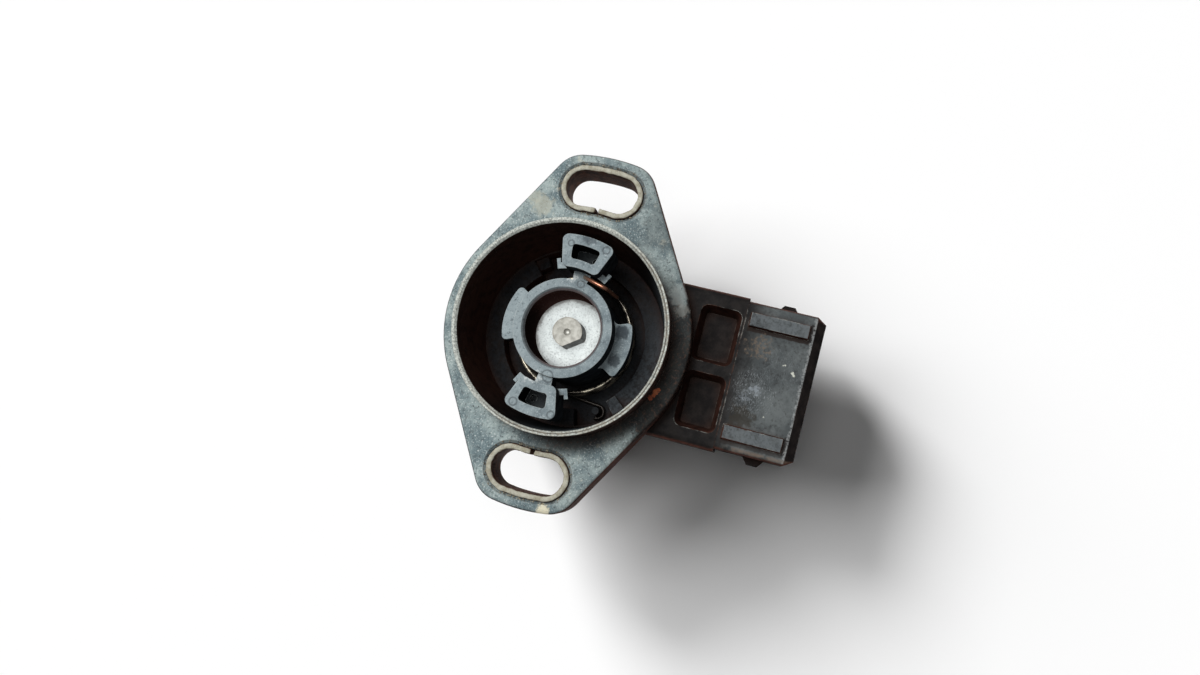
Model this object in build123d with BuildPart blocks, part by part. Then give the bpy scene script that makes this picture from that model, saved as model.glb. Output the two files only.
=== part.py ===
from build123d import *
import os
from math import atan, atan2, cos, degrees, hypot, radians, sin, sqrt, tan

# Throttle position sensor. The origin is on the rotor's axis, in the flange's mounting face.
# +Z points out of that face, +X along the line of the two slots, and the plug points to -Y.
# All sizes are in millimetres and degrees. Depths are measured down from the mounting face.

# Flange, its ears and slots
flange_t = 6.4
flange_r = 20.7
ear_reach = 5.9
ear_corner_r = 5.0
ear_spread = 9.0
flange_edge_r = 0.8
slot_pitch_r = 24.0
slot_w = 6.0
slot_l = 12.0
sleeve_wall = 1.0
sleeve_proud = 0.4
sleeve_split = 0.5
sleeve_moat = 0.5
moat_draft = 44.9
sleeve_edge = 0.2

# Spigot, tapered bore, shelf and spring well
spigot_r = 17.5
spigot_h = 5.8
lip_wall = 0.8
lip_edge = 0.35
bore_draft = 4.7
shelf_depth = 8.7
shelf_w = 3.2
well_h = 3.8
floor_t = 2.0

# Pockets in the shelf, with the ledge and the rib beside them
pocket_from = 15.0
pocket_to = 42.0
pocket_wall = 0.3
ledge_from = 33.0
ledge_w = 1.9
ledge_drop = 1.0
rib_angle = 46.0
rib_spread = 4.0
rib_h = 1.6

# Rear chamber, cover and its seal
chamber_r = 16.4
chamber_h = 7.0
body_wall = 2.2
boss_r = 6.0
boss_h = 3.2
cover_t = 1.6
cover_ledge = 1.0
cover_gap = 0.05
cover_seal_t = 0.6

# Plug neck and plug shroud
neck_w = 26.0
neck_drop = 0.3
neck_end = 27.8
plug_top = 4.0
plug_w = 24.9
plug_h = 13.0
plug_end = 40.7
plug_edge_r = 1.2
plug_lip = 1.5
plug_lip_drop = 1.0
shroud_wall = 1.7
socket_depth = 12.0
socket_corner_r = 0.8
core_l = 9.4
core_w = 6.9
core_web = 1.8
core_end_wall = 0.5
core_corner_r = 1.3
core_depth = 3.4
core_draft = 14.0
bar_l = 9.9
bar_w = 2.5
bar_spread = 9.4
bar_h = 1.0
bar_draft = 10.0
bar_end_gap = 2.3
nub_l = 3.6
nub_rise = 0.9
nub_h = 4.0
nub_proud = 1.2
nub_end_gap = 4.5

# Blade terminals
blade_w = 2.3
blade_t = 0.8
blade_pitch = 4.4
blade_bend_r = 1.0
blade_tip_gap = 4.8
blade_tip_chamfer = 0.25
tail_wall = 0.4
tail_l = 0.8

# Rotor moulding
hub_r = 8.1
hub_wall = 1.9
hub_top = 3.0
hub_edge = 0.55
hub_lift = 0.8
web_t = 2.2
ear_top = 1.3
ear_half = 26.0
ear_t = 2.6
rotor_ear_reach = 2.8
ear_edge_r = 0.7
ear_foot_r = 1.0
rest_angle = -5.0
paddle_half = 17.5
paddle_sink = 0.2
paddle_drop = 1.6
paddle_gap = 0.6
paddle_edge_r = 1.0
paddle_wall = 1.35
paddle_side_wall = 1.55
paddle_pocket = 5.5
pocket_edge_r = 0.5
pin_mark_r = 0.55
pin_mark_depth = 1.0
neck_l = 1.5
neck_half = 8.5
neck_top = 2.2
hook_half = 24.5
hook_inset = 0.2
hook_w = 1.0
hook_t = 1.1
hook_top = 2.6
hook_lip = 0.7
hook_lip_half = 1.6

# Return spring
wire_r = 0.32
wire_sides = 8
coil_space = 0.16
spring_hub_gap = 1.3
coil_lean = 0.35
coil_lean_angle = -70.0
spring_clear = 0.4
spring_turns = 6
foot_pin_angle = 211.0
foot_pin_mid_r = 13.2
foot_hook_r = 1.05
foot_hook_w = 2.2
foot_hook_l = 1.2
foot_pin_gap = 0.08
tip_leg_on = 1.2
tip_leg_rise = 0.1
tip_leg_r = 9.4
tip_leg_spread = 25.0
tip_end_r = 9.0
tip_end_turn = 3.0
leg_bend_r = 0.9

# Shaft, plate, bush, seal and the rear stack
shaft_r = 2.5
shaft_top = 1.95
flat_depth = 0.6
flat_turn = -139.0
dimple_r = 0.6
plate_top = 6.45
plate_t = 1.2
seat_gap = 0.02
running_gap = 0.03
bush_wall = 1.5
ring_seal_r = 0.75
ring_seal_room = 0.05
thrust_t = 0.5
wave_t = 0.3
washer_r = 5.0
washer_gap = 0.1
carrier_r = 12.5
carrier_t = 1.8
carrier_slot_half = 32.0
carrier_slot_w = 2.4
clip_t = 0.5
clip_groove = 0.5
clip_r = 4.2
clip_mouth = 3.4
shaft_tail = 0.6

# Element board and wipers
board_t = 1.0
board_gap = 0.1
wiper_t = 0.2
wiper_w = 2.6
wiper_foot_l = 2.6
wiper_reach = 4.4
wiper_tip_l = 0.7
wiper_tip_gap = 0.05
wiper_slit = 0.2
signal_wiper_r = 11.0
idle_wiper_r = 8.2

# Stop ribs in the rear chamber, and the carrier's lug that meets them
travel = 95.0
stop_mid = 110.0
stop_gap = 0.6
stop_spread = 10.0
stop_side_gap = 0.4
lug_half = 7.0
lug_end_gap = 0.6

# Levels that follow from the sizes above
shelf_z = -shelf_depth
well_z = shelf_z - well_h
roof_z = well_z - floor_t
boss_z = roof_z - boss_h
ledge_z = roof_z - chamber_h
cover_z = ledge_z - cover_seal_t
rear_z = cover_z - cover_t
plug_mid_z = -plug_top - plug_h / 2
hub_bottom_z = well_z + hub_lift
plate_z = -plate_top - plate_t
paddle_z = -paddle_drop
paddle_top_z = spigot_h - paddle_sink
spring_foot_z = well_z + spring_clear + wire_r
tip_leg_z = neck_top + wire_r + tip_leg_rise
carrier_z = boss_z - thrust_t
clip_z = carrier_z - carrier_t - wave_t
shaft_z = clip_z - clip_t - shaft_tail

# Radii that follow from the sizes above
ear_r = slot_pitch_r + ear_reach
ear_corner_mid_r = ear_r - ear_corner_r
ear_corner_l = 2 * (radians(ear_spread) * ear_corner_mid_r + ear_corner_r)
bore_lip_r = spigot_r - lip_wall
shelf_r = bore_lip_r - (spigot_h + shelf_depth) * tan(radians(bore_draft))
well_r = shelf_r - shelf_w
coil_r = hub_r + spring_hub_gap + wire_r
foot_pin_r = foot_hook_r - wire_r - foot_pin_gap
rotor_ear_r = hub_r + rotor_ear_reach
hub_bore_r = hub_r - hub_wall
paddle_in_r = hub_r + neck_l
paddle_out_r = shelf_r - paddle_gap
hook_in_r = paddle_in_r + hook_inset
hook_out_r = hook_in_r + hook_w
body_r = chamber_r + body_wall
carrier_slot_in_r = washer_r + carrier_slot_w / 2
stop_in_r = carrier_r + stop_side_gap
lug_r = chamber_r - lug_end_gap
cover_rim_r = chamber_r + cover_ledge
bush_r = shaft_r + running_gap + bush_wall
sleeve_l = slot_l + 2 * sleeve_wall
sleeve_w = slot_w + 2 * sleeve_wall
ring_seal_mid_r = shaft_r + running_gap + ring_seal_r
seal_room_r = ring_seal_mid_r + ring_seal_r + ring_seal_room
clip_groove_r = shaft_r - clip_groove
pocket_out_r = shelf_r - pocket_wall
pocket_in_r = paddle_in_r + paddle_wall
pocket_far_r = paddle_out_r - paddle_side_wall
pocket_mid_r = (pocket_in_r + pocket_far_r) / 2
pocket_half = paddle_half - degrees(paddle_side_wall / pocket_mid_r)

# Places that follow from the sizes above
terminal_names = ("terminal_supply", "terminal_signal", "terminal_idle", "terminal_ground")
terminal_xs = [blade_pitch * (i - (len(terminal_names) - 1) / 2) for i in range(len(terminal_names))]
tail_half_span = terminal_xs[-1] + blade_w / 2
tail_y = -(sqrt(chamber_r**2 - tail_half_span**2) - tail_wall - blade_t / 2)
tail_z = roof_z - board_t - tail_l
plug_face_z = -plug_top
sides = (0, 180)
ear_sides = (90, 270)
fine = 1e-3


def polar(radius, angle):
    """Point at a radius and an angle round the rotor's axis."""
    return (radius * cos(radians(angle)), radius * sin(radians(angle)))


def ring_sector(inner, outer, start, end):
    """Flat ring sector round the rotor's axis."""
    with BuildSketch() as sector:
        with BuildLine():
            CenterArc((0, 0), inner, start, end - start)
            CenterArc((0, 0), outer, start, end - start)
            Line(polar(inner, start), polar(outer, start))
            Line(polar(inner, end), polar(outer, end))
        make_face()
    return sector.sketch


def arc_slot(radius, length, width, side):
    """Slot that curves round the rotor's axis, centred on an angle."""
    half = degrees((length - width) / 2 / radius)
    with BuildSketch() as slot:
        SlotArc(CenterArc((0, 0), radius, side - half, 2 * half, mode=Mode.PRIVATE), width)
    return slot.sketch


def flat_sided_disc(radius, gap):
    """Round section with one flat, as the shaft has it, opened by a gap."""
    with BuildSketch() as section:
        Circle(radius + gap)
        with Locations(Plane.XY.rotated((0, 0, rest_angle + flat_turn)).location):
            with Locations((shaft_r - flat_depth + gap + radius, 0)):
                Rectangle(2 * radius, 4 * radius, mode=Mode.SUBTRACT)
    return section.sketch


def save(part, name):
    """Label a finished piece and write it under its name."""
    part.label = name
    export_step(part, f"parts/{name}.step")


# Course of the return spring: its foot's tangent passes the pin, and its tip ends by the upper hook
coil_mid = Vector(*polar(coil_lean, coil_lean_angle))
foot_pin = Vector(*polar(foot_pin_mid_r, foot_pin_angle))
pin_off = foot_pin - coil_mid
pin_along = sqrt(pin_off.length**2 - (coil_r + foot_hook_r) ** 2)
foot_leg_l = pin_along + foot_hook_r
foot_angle = degrees(atan2(pin_off.Y, pin_off.X) - atan2(pin_along, coil_r + foot_hook_r))
tip_angle = rest_angle - hook_half
tip_end_angle = rest_angle - tip_end_turn
coil_sweep = 360 * spring_turns + (foot_angle - tip_angle) % 360
coil_pitch = 2 * wire_r + coil_space

# Stop ribs stand at equal angles on both sides of the lug's sweep
lug_angle = stop_mid + travel / 2
stop_from = lug_angle + lug_half + degrees(stop_gap / lug_r)
stop_starts = (stop_from, 2 * stop_mid - stop_from - stop_spread)

os.makedirs("parts", exist_ok=True)

# Blade terminals: straight blade in the plug, bent down into the rear chamber
terminals = []
for name, x in zip(terminal_names, terminal_xs):
    with BuildPart() as terminal:
        with BuildSketch(Plane.YZ.offset(x)):
            with BuildLine():
                FilletPolyline(
                    (-plug_end + blade_tip_gap, plug_mid_z),
                    (tail_y, plug_mid_z),
                    (tail_y, tail_z),
                    radius=blade_bend_r,
                )
            trace(line_width=blade_t)
        extrude(amount=blade_w / 2, both=True)
        chamfer(terminal.faces().sort_by(Axis.Y)[0].edges(), blade_tip_chamfer)
    save(terminal.part, name)
    terminals.append(terminal.part)

# Housing: flange, spigot, cup, plug neck and plug shroud in one moulding
with BuildPart() as housing:
    with BuildSketch():
        Circle(flange_r)
        for side in sides:
            add(arc_slot(ear_corner_mid_r, ear_corner_l, 2 * ear_corner_r, side))
        make_hull()
    extrude(amount=-flange_t)
    fillet(housing.faces().sort_by(Axis.Z)[-1].edges(), flange_edge_r)
    with BuildSketch():
        Circle(spigot_r)
    extrude(amount=spigot_h)
    with BuildSketch(Plane.XY.offset(-flange_t)):
        Circle(body_r)
    extrude(amount=rear_z + flange_t)

    with BuildSketch(Plane.XZ):
        with Locations((0, plug_mid_z)):
            RectangleRounded(neck_w, plug_h - 2 * neck_drop, plug_edge_r)
    extrude(amount=neck_end)
    with BuildSketch(Plane.XZ.offset(neck_end)):
        with Locations((0, plug_mid_z)):
            RectangleRounded(plug_w, plug_h, plug_edge_r)
    extrude(amount=plug_end - plug_lip - neck_end)
    with BuildSketch(Plane.XZ.offset(plug_end - plug_lip)):
        with Locations((0, plug_mid_z)):
            RectangleRounded(plug_w, plug_h, plug_edge_r)
    extrude(amount=plug_lip, taper=degrees(atan(plug_lip_drop / plug_lip)))
    with BuildSketch(Plane.XZ.offset(plug_end)):
        with Locations((0, plug_mid_z)):
            RectangleRounded(plug_w - 2 * shroud_wall, plug_h - 2 * shroud_wall, socket_corner_r)
    extrude(amount=-socket_depth, mode=Mode.SUBTRACT)
    with BuildSketch(Plane.XY.offset(plug_face_z - neck_drop)):
        for side in (-1, 1):
            with Locations((side * (core_web + core_l) / 2, -neck_end + core_end_wall + core_w / 2)):
                RectangleRounded(core_l, core_w, core_corner_r)
    extrude(amount=-core_depth, taper=core_draft, mode=Mode.SUBTRACT)
    with BuildSketch(Plane.XY.offset(plug_face_z)):
        for side in (-1, 1):
            with Locations((side * bar_spread, -plug_end + bar_end_gap + bar_l / 2)):
                Rectangle(bar_w, bar_l)
    extrude(amount=bar_h, taper=bar_draft)
    with BuildSketch(Plane.XY.offset(plug_mid_z)):
        for side in (-1, 1):
            with BuildLine():
                Polyline(
                    (side * plug_w / 2, -plug_end + nub_end_gap),
                    (side * (plug_w / 2 + nub_proud), -plug_end + nub_end_gap + nub_rise),
                    (side * (plug_w / 2 + nub_proud), -plug_end + nub_end_gap + nub_l - nub_rise),
                    (side * plug_w / 2, -plug_end + nub_end_gap + nub_l),
                    close=True,
                )
            make_face()
    extrude(amount=nub_h / 2, both=True)

    # Tapered bore, shelf and spring well
    with BuildSketch(Plane.XZ):
        with BuildLine():
            Polyline(
                (0, spigot_h),
                (bore_lip_r + lip_edge, spigot_h),
                (bore_lip_r, spigot_h - lip_edge),
                (shelf_r, shelf_z),
                (well_r, shelf_z),
                (well_r, well_z),
                (0, well_z),
                close=True,
            )
        make_face()
    revolve(axis=Axis.Z, mode=Mode.SUBTRACT)
    with BuildSketch(Plane.XY.offset(shelf_z)):
        for side in sides:
            add(ring_sector(well_r - shelf_w / 2, pocket_out_r, side + pocket_from, side + pocket_to))
    extrude(amount=-well_h, mode=Mode.SUBTRACT)
    with BuildSketch(Plane.XY.offset(well_z)):
        add(ring_sector(pocket_out_r - ledge_w, pocket_out_r, ledge_from, pocket_to))
    extrude(amount=well_h - ledge_drop)
    with BuildSketch(Plane.XY.offset(well_z)):
        with Locations(foot_pin):
            Circle(foot_pin_r)
    extrude(amount=well_h)
    with BuildSketch(Plane.XY.offset(shelf_z)):
        rib_mid = 180 + rib_angle
        add(ring_sector(well_r + pocket_wall, pocket_out_r, rib_mid - rib_spread, rib_mid + rib_spread))
    extrude(amount=rib_h)

    # Rear chamber round the bearing boss, with the cover's rebate and the stop ribs
    with BuildSketch(Plane.XZ):
        with BuildLine():
            Polyline(
                (boss_r, roof_z),
                (chamber_r, roof_z),
                (chamber_r, ledge_z),
                (cover_rim_r, ledge_z),
                (cover_rim_r, rear_z),
                (0, rear_z),
                (0, boss_z),
                (boss_r, boss_z),
                close=True,
            )
        make_face()
    revolve(axis=Axis.Z, mode=Mode.SUBTRACT)
    with BuildSketch(Plane.XY.offset(roof_z)):
        for start in stop_starts:
            add(ring_sector(stop_in_r, chamber_r + body_wall / 2, start, start + stop_spread))
    extrude(amount=carrier_z - carrier_t - roof_z)
    with BuildSketch(Plane.XY.offset(well_z)):
        Circle(seal_room_r)
    extrude(amount=roof_z - well_z, mode=Mode.SUBTRACT)
    with BuildSketch(Plane.XY.offset(roof_z)):
        Circle(bush_r + seat_gap)
    extrude(amount=boss_z - roof_z, mode=Mode.SUBTRACT)

    # Slots for the sleeves, and the channels that the terminals fill
    with BuildSketch():
        for side in sides:
            add(arc_slot(slot_pitch_r, sleeve_l + 2 * seat_gap, sleeve_w + 2 * seat_gap, side))
    extrude(amount=-flange_t, mode=Mode.SUBTRACT)
    with BuildSketch():
        for side in sides:
            add(arc_slot(slot_pitch_r, sleeve_l + 2 * sleeve_moat, sleeve_w + 2 * sleeve_moat, side))
    extrude(amount=-sleeve_moat, taper=moat_draft, mode=Mode.SUBTRACT)
    add(terminals, mode=Mode.SUBTRACT)
save(housing.part, "housing")

# Rolled and split steel sleeves in the slots
for name, side in (("slot_sleeve_upper", 0), ("slot_sleeve_lower", 180)):
    with BuildPart() as sleeve:
        with BuildSketch(Plane.XY.offset(sleeve_proud)):
            add(arc_slot(slot_pitch_r, sleeve_l, sleeve_w, side))
            add(arc_slot(slot_pitch_r, slot_l, slot_w, side), mode=Mode.SUBTRACT)
            with Locations(polar(slot_pitch_r - (slot_w + sleeve_wall) / 2, side)):
                Rectangle(3 * sleeve_wall, sleeve_split, mode=Mode.SUBTRACT)
        extrude(amount=-sleeve_proud - flange_t)
        chamfer(sleeve.faces().sort_by(Axis.Z)[-1].edges(), sleeve_edge)
    save(sleeve.part, name)

# Shaft: one flat at each end, a centre dimple and a clip groove
with BuildPart() as rotor_shaft:
    with BuildSketch(Plane.XY.offset(-shaft_top)):
        add(flat_sided_disc(shaft_r, 0))
    extrude(amount=plate_z + shaft_top)
    with BuildSketch(Plane.XY.offset(plate_z)):
        Circle(shaft_r)
    extrude(amount=carrier_z - plate_z)
    with BuildSketch(Plane.XY.offset(carrier_z)):
        add(flat_sided_disc(shaft_r, 0))
    extrude(amount=shaft_z - carrier_z)
    with BuildSketch(Plane.XY.offset(clip_z)):
        Circle(2 * shaft_r)
        Circle(clip_groove_r, mode=Mode.SUBTRACT)
    extrude(amount=-clip_t, mode=Mode.SUBTRACT)
    with Locations((0, 0, -shaft_top)):
        Cone(0.0, dimple_r, dimple_r, align=(Align.CENTER, Align.CENTER, Align.MAX), mode=Mode.SUBTRACT)
save(rotor_shaft.part, "rotor_shaft")

# Bright plate at the bottom of the rotor's ring
with BuildPart() as hub_plate:
    with BuildSketch(Plane.XY.offset(-plate_top)):
        Circle(hub_bore_r - seat_gap)
        add(flat_sided_disc(shaft_r, seat_gap), mode=Mode.SUBTRACT)
    extrude(amount=-plate_t)
save(hub_plate.part, "hub_plate")

# Rotor: ring hub, ears, paddles, necks and hooks in one moulding
with BuildPart() as rotor:
    with BuildSketch(Plane.XY.offset(hub_top)):
        Circle(hub_r)
    extrude(amount=hub_bottom_z - hub_top)
    with BuildSketch(Plane.XY.offset(-ear_top)):
        for side in ear_sides:
            ear_mid = side + rest_angle
            add(ring_sector(hub_r - hub_wall / 2, rotor_ear_r, ear_mid - ear_half, ear_mid + ear_half))
    extrude(amount=-ear_t)
    uprights = rotor.edges().filter_by(Axis.Z).sort_by(lambda e: hypot(e.center().X, e.center().Y))
    fillet(uprights[-4:], ear_edge_r)
    uprights = rotor.edges().filter_by(Axis.Z).filter_by(
        lambda e: abs(hypot(e.center().X, e.center().Y) - hub_r) < fine)
    fillet(uprights.sort_by(lambda e: abs(e.center().Y))[-4:], ear_foot_r)
    with BuildSketch(Plane.XY.offset(paddle_z)):
        for side in sides:
            centre = side + rest_angle
            add(ring_sector(hub_r - hub_wall / 2, paddle_in_r + paddle_wall / 2,
                            centre - neck_half, centre + neck_half))
    extrude(amount=neck_top - paddle_z)
    with BuildSketch(Plane.XY.offset(hook_top - hook_t)):
        for side in sides:
            centre = side + rest_angle
            add(ring_sector(hook_in_r, hook_out_r, centre - hook_half, centre + hook_half))
            for end in (-1, 1):
                tip = centre + end * (hook_half - hook_lip_half)
                add(ring_sector(hook_in_r, hook_out_r + hook_lip, tip - hook_lip_half, tip + hook_lip_half))
    extrude(amount=hook_t)
    for side in sides:
        centre = side + rest_angle
        with BuildSketch(Plane.XY.offset(paddle_z)) as paddle:
            add(ring_sector(paddle_in_r, paddle_out_r, centre - paddle_half, centre + paddle_half))
            fillet(paddle.vertices(), paddle_edge_r)
        extrude(amount=paddle_top_z - paddle_z)
    for side in sides:
        centre = side + rest_angle
        with BuildSketch(Plane.XY.offset(paddle_top_z)) as pocket:
            add(ring_sector(pocket_in_r, pocket_far_r, centre - pocket_half, centre + pocket_half))
            fillet(pocket.vertices(), pocket_edge_r)
        extrude(amount=-paddle_pocket, mode=Mode.SUBTRACT)
        with BuildSketch(Plane.XY.offset(paddle_top_z - paddle_pocket)):
            with Locations(polar(pocket_mid_r, centre - pocket_half / 2)):
                Circle(pin_mark_r)
        extrude(amount=-pin_mark_depth, mode=Mode.SUBTRACT)
    with BuildSketch(Plane.XZ):
        with BuildLine():
            Polyline(
                (0, hub_top),
                (hub_bore_r + hub_edge, hub_top),
                (hub_bore_r, hub_top - hub_edge),
                (hub_bore_r, plate_z),
                (shaft_r + seat_gap, plate_z),
                (shaft_r + seat_gap, plate_z - web_t),
                (hub_bore_r, plate_z - web_t),
                (hub_bore_r, hub_bottom_z),
                (0, hub_bottom_z),
                close=True,
            )
        make_face()
    revolve(axis=Axis.Z, mode=Mode.SUBTRACT)
save(rotor.part, "rotor")

# Return spring: left-handed close coil of many-sided wire that leans to one side of the rotor's hub, with
# a foot leg hooked round the pin in the lower pocket and a tip leg laid across the upper paddle's neck
with BuildPart() as return_spring:
    with BuildLine() as coil:
        helix = Helix(coil_pitch, coil_pitch * coil_sweep / 360, coil_r, (0, 0, spring_foot_z),
                      lefthand=True, mode=Mode.PRIVATE)
        add(helix.rotate(Axis.Z, foot_angle).translate(coil_mid))
    foot = coil.line @ 0
    tip = coil.line @ 1
    foot_along = -(coil.line % 0)
    tip_along = coil.line % 1
    foot_out = Vector(*polar(1, foot_angle))
    tip_out = Vector(*polar(1, tip_angle))
    with BuildSketch(Plane(foot, x_dir=foot_out, z_dir=-foot_along)):
        RegularPolygon(wire_r, wire_sides)
    sweep(path=coil.line, is_frenet=True)
    foot_bend = foot + foot_along * foot_leg_l
    foot_turn = foot_bend + foot_out * foot_hook_w
    with BuildLine() as foot_leg:
        FilletPolyline(foot, foot_bend, foot_turn, foot_turn - foot_along * foot_hook_l, radius=foot_hook_r)
    with BuildSketch(Plane(foot, x_dir=foot_out, z_dir=foot_along)):
        RegularPolygon(wire_r, wire_sides)
    sweep(path=foot_leg.line)
    tip_bend = tip + tip_along * tip_leg_on
    tip_top = Vector(*polar(tip_leg_r, tip_end_angle - tip_leg_spread), tip_leg_z)
    tip_end = Vector(*polar(tip_end_r, tip_end_angle), tip_leg_z)
    with BuildLine() as tip_leg:
        FilletPolyline(tip, tip_bend, tip_top, tip_end, radius=leg_bend_r)
    with BuildSketch(Plane(tip, x_dir=tip_out, z_dir=tip_along)):
        RegularPolygon(wire_r, wire_sides)
    sweep(path=tip_leg.line)
save(return_spring.part, "return_spring")

# Bearing bush and ring seal round the shaft
with BuildPart() as shaft_bush:
    with BuildSketch(Plane.XY.offset(roof_z)):
        Circle(bush_r)
        Circle(shaft_r + running_gap, mode=Mode.SUBTRACT)
    extrude(amount=-boss_h)
save(shaft_bush.part, "shaft_bush")

with BuildPart() as shaft_seal:
    with BuildSketch(Plane.XZ):
        with Locations((ring_seal_mid_r, roof_z + ring_seal_r + ring_seal_room)):
            Circle(ring_seal_r)
    revolve(axis=Axis.Z)
save(shaft_seal.part, "shaft_seal")

# Thrust washer, wiper carrier, wave washer and clip on the shaft's rear end
with BuildPart() as thrust_washer:
    with BuildSketch(Plane.XY.offset(boss_z - washer_gap)):
        Circle(washer_r)
        Circle(shaft_r + washer_gap, mode=Mode.SUBTRACT)
    extrude(amount=-thrust_t + washer_gap)
save(thrust_washer.part, "thrust_washer")

with BuildPart() as wiper_carrier:
    with BuildSketch(Plane.XY.offset(carrier_z)):
        Circle(carrier_r)
        add(ring_sector(carrier_r - carrier_t, lug_r, lug_angle - lug_half, lug_angle + lug_half))
        add(flat_sided_disc(shaft_r, seat_gap), mode=Mode.SUBTRACT)
        for side in ear_sides:
            add(ring_sector(carrier_slot_in_r, carrier_slot_in_r + carrier_slot_w,
                            side - carrier_slot_half, side + carrier_slot_half), mode=Mode.SUBTRACT)
    extrude(amount=-carrier_t)
save(wiper_carrier.part, "wiper_carrier")

with BuildPart() as wave_washer:
    with BuildSketch(Plane.XY.offset(carrier_z - carrier_t)):
        Circle(washer_r)
        Circle(shaft_r + washer_gap, mode=Mode.SUBTRACT)
    extrude(amount=-wave_t)
save(wave_washer.part, "wave_washer")

with BuildPart() as retaining_clip:
    with BuildSketch(Plane.XY.offset(clip_z)):
        Circle(clip_r)
        Circle(clip_groove_r + seat_gap, mode=Mode.SUBTRACT)
        with Locations((0, -clip_r / 2)):
            Rectangle(clip_mouth, clip_r, mode=Mode.SUBTRACT)
    extrude(amount=-clip_t)
save(retaining_clip.part, "retaining_clip")

# Sprung contact strips that stand on the carrier and reach up to the board
board_z = roof_z - board_t
for name, radius, side in (("signal_wiper", signal_wiper_r, 0), ("idle_wiper", idle_wiper_r, 180)):
    with BuildPart() as wiper:
        outward = (*polar(1, side), 0)
        along = (*polar(1, side + 90), 0)
        with BuildSketch(Plane(polar(radius, side), x_dir=along, z_dir=outward)):
            with BuildLine():
                Polyline(
                    (-wiper_foot_l, carrier_z + wiper_t / 2),
                    (0, carrier_z + wiper_t / 2),
                    (wiper_reach, board_z - wiper_tip_gap - wiper_t),
                    (wiper_reach + wiper_tip_l, board_z - wiper_tip_gap - 2 * wiper_t),
                )
            trace(line_width=wiper_t)
        extrude(amount=wiper_w / 2, both=True)
        with BuildSketch(Plane.XY.offset(carrier_z)):
            with Locations(Plane(polar(radius, side), x_dir=along).location):
                with Locations((wiper_reach, 0)):
                    Rectangle(wiper_reach, wiper_slit)
        extrude(amount=board_z - carrier_z, mode=Mode.SUBTRACT)
    save(wiper.part, name)

# Element board against the chamber's roof, notched for the terminals' tails and the stop ribs
with BuildPart() as element_board:
    with BuildSketch(Plane.XY.offset(roof_z)):
        Circle(chamber_r - board_gap)
        Circle(boss_r + board_gap, mode=Mode.SUBTRACT)
        for x in terminal_xs:
            with Locations((x, tail_y)):
                Rectangle(blade_w + 2 * board_gap, blade_t + 2 * board_gap, mode=Mode.SUBTRACT)
        notch_more = degrees(board_gap / stop_in_r)
        for start in stop_starts:
            add(ring_sector(stop_in_r - board_gap, chamber_r, start - notch_more,
                            start + stop_spread + notch_more), mode=Mode.SUBTRACT)
    extrude(amount=-board_t)
save(element_board.part, "element_board")

# Rear cover on its seal
with BuildPart() as cover_seal:
    with BuildSketch(Plane.XY.offset(ledge_z)):
        Circle(cover_rim_r - cover_gap)
        Circle(chamber_r + cover_gap, mode=Mode.SUBTRACT)
    extrude(amount=-cover_seal_t)
save(cover_seal.part, "cover_seal")

with BuildPart() as rear_cover:
    with BuildSketch(Plane.XY.offset(cover_z)):
        Circle(cover_rim_r - cover_gap)
    extrude(amount=-cover_t)
save(rear_cover.part, "rear_cover")
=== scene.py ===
import random
from math import atan2, cos, degrees, pi, radians, sin, sqrt, tan

import bmesh
import bpy
from mathutils import Matrix, Vector, noise


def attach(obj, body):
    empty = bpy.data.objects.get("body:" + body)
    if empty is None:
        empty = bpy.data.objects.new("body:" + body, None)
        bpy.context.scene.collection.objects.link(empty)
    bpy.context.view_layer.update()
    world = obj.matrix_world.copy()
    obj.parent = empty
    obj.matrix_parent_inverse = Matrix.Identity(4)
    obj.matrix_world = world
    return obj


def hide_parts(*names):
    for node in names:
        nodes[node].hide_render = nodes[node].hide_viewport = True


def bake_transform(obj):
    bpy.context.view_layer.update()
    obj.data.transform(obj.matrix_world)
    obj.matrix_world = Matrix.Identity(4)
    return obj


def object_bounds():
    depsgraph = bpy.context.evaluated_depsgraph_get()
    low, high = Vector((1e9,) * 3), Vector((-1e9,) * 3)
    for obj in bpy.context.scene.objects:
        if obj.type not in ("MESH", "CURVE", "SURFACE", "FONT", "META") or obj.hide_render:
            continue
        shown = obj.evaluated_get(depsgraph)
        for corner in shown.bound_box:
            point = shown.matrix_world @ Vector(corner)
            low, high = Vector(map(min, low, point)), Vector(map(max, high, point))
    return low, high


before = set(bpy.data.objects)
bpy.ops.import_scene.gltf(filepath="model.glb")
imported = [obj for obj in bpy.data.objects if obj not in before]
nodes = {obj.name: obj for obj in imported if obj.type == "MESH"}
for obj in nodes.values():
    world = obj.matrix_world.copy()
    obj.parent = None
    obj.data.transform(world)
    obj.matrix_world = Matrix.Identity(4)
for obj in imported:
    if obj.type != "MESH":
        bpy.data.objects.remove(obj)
cad_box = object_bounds()
scene = bpy.context.scene

MM = 0.001

# Camera: where the photograph was taken from, in millimetres, with its view and up directions
CAMERA_PLACE = Vector((-14.79, -33.05, 161.27)) * MM
CAMERA_FORWARD = Vector((0.0914, 0.1653, -0.982))
CAMERA_UP = Vector((0.963, 0.2364, 0.1294))
CAMERA_LENS = 30.3
CAMERA_SENSOR = 36.0
CAMERA_NEAR = 0.01
CAMERA_FAR = 10.0

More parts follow.
